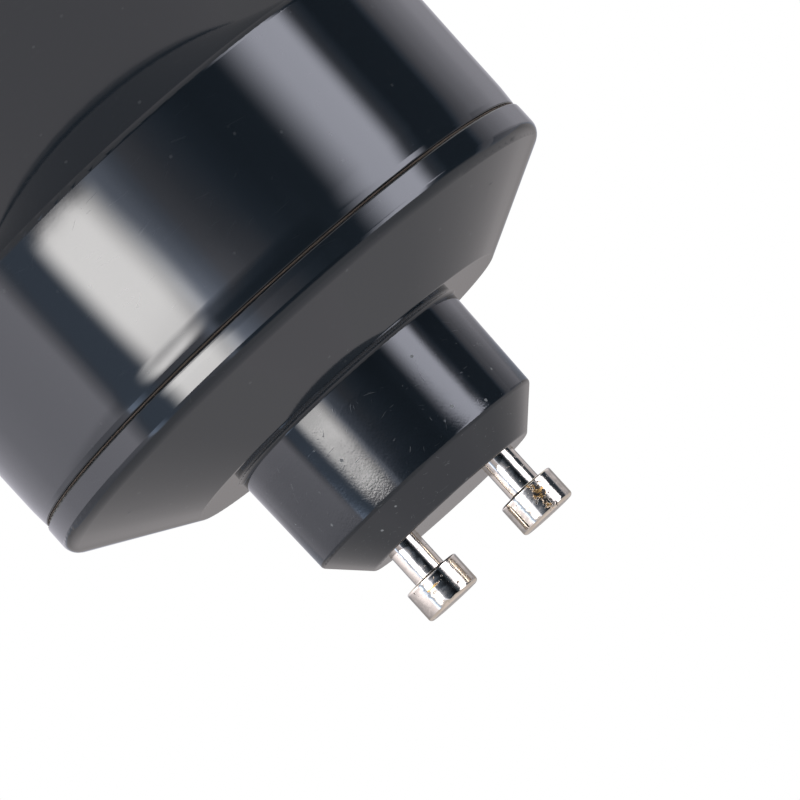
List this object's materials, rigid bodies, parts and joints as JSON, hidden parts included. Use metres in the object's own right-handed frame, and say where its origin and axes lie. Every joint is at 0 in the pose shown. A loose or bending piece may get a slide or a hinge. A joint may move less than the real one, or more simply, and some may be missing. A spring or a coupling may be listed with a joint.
{
  "type": "reflector spotlight bulb",
  "caption": "Wide reflector lamp: black flared housing with a round driver can, shallow conical rear cap, bevelled neck with twist-lock pins, and a clear lens in a front ring.",
  "frame": {"origin": "centre of the front ring's face, on which the lamp stands", "axes": "+Z along the lamp's axis from the front towards the contact pins; the pins lie along X"},
  "size_m": [0.111, 0.111, 0.0728],
  "materials": {
    "black_plastic": "glossy moulded",
    "nickel_plate": "bright plated, lightly worn",
    "clear_lens": "clear, smooth",
    "bright_aluminium": "polished",
    "plain_aluminium": "satin",
    "screw_steel": "zinc plated",
    "white_plastic": "moulded",
    "white_ceramic": "matt",
    "phosphor_yellow": "silicone",
    "grey_pad": "soft",
    "board_green": "solder mask",
    "insulator_film": "film",
    "ferrite": "sintered",
    "bobbin_black": "moulded",
    "winding_tape": "taped",
    "copper_wire": "enamelled",
    "capacitor_sleeve": "sleeved can",
    "film_yellow": "moulded",
    "package_black": "moulded",
    "resistor_coat": "coated",
    "varistor_blue": "dipped",
    "lead_red": "insulated",
    "lead_black": "insulated",
    "lead_white": "insulated"
  },
  "bodies": {
    "root": {"lamp_housing": "black_plastic", "rear_cap": "black_plastic", "front_ring": "black_plastic", "contact_pin_left": "nickel_plate", "contact_pin_right": "nickel_plate", "pin_lead_left": "lead_white", "pin_lead_right": "lead_white", "driver_board": "board_green", "bulk_capacitor": "capacitor_sleeve", "output_capacitor": "capacitor_sleeve", "film_capacitor": "film_yellow", "transformer_core": "ferrite", "transformer_bobbin": "bobbin_black", "transformer_winding": "winding_tape", "filter_choke": "ferrite", "choke_winding": "copper_wire", "bridge_rectifier": "package_black", "fusible_resistor": "resistor_coat", "output_diode": "package_black", "varistor": "varistor_blue", "control_chip": "package_black", "insulating_disc": "insulator_film", "heat_sink": "plain_aluminium", "heat_sink_screws": "screw_steel", "thermal_pad": "grey_pad", "led_substrate": "white_ceramic", "led_phosphor": "phosphor_yellow", "led_holder": "white_plastic", "holder_screws": "screw_steel", "led_lead_positive": "lead_red", "led_lead_negative": "lead_black", "reflector": "bright_aluminium", "front_lens": "clear_lens"}
  },
  "joints": []
}
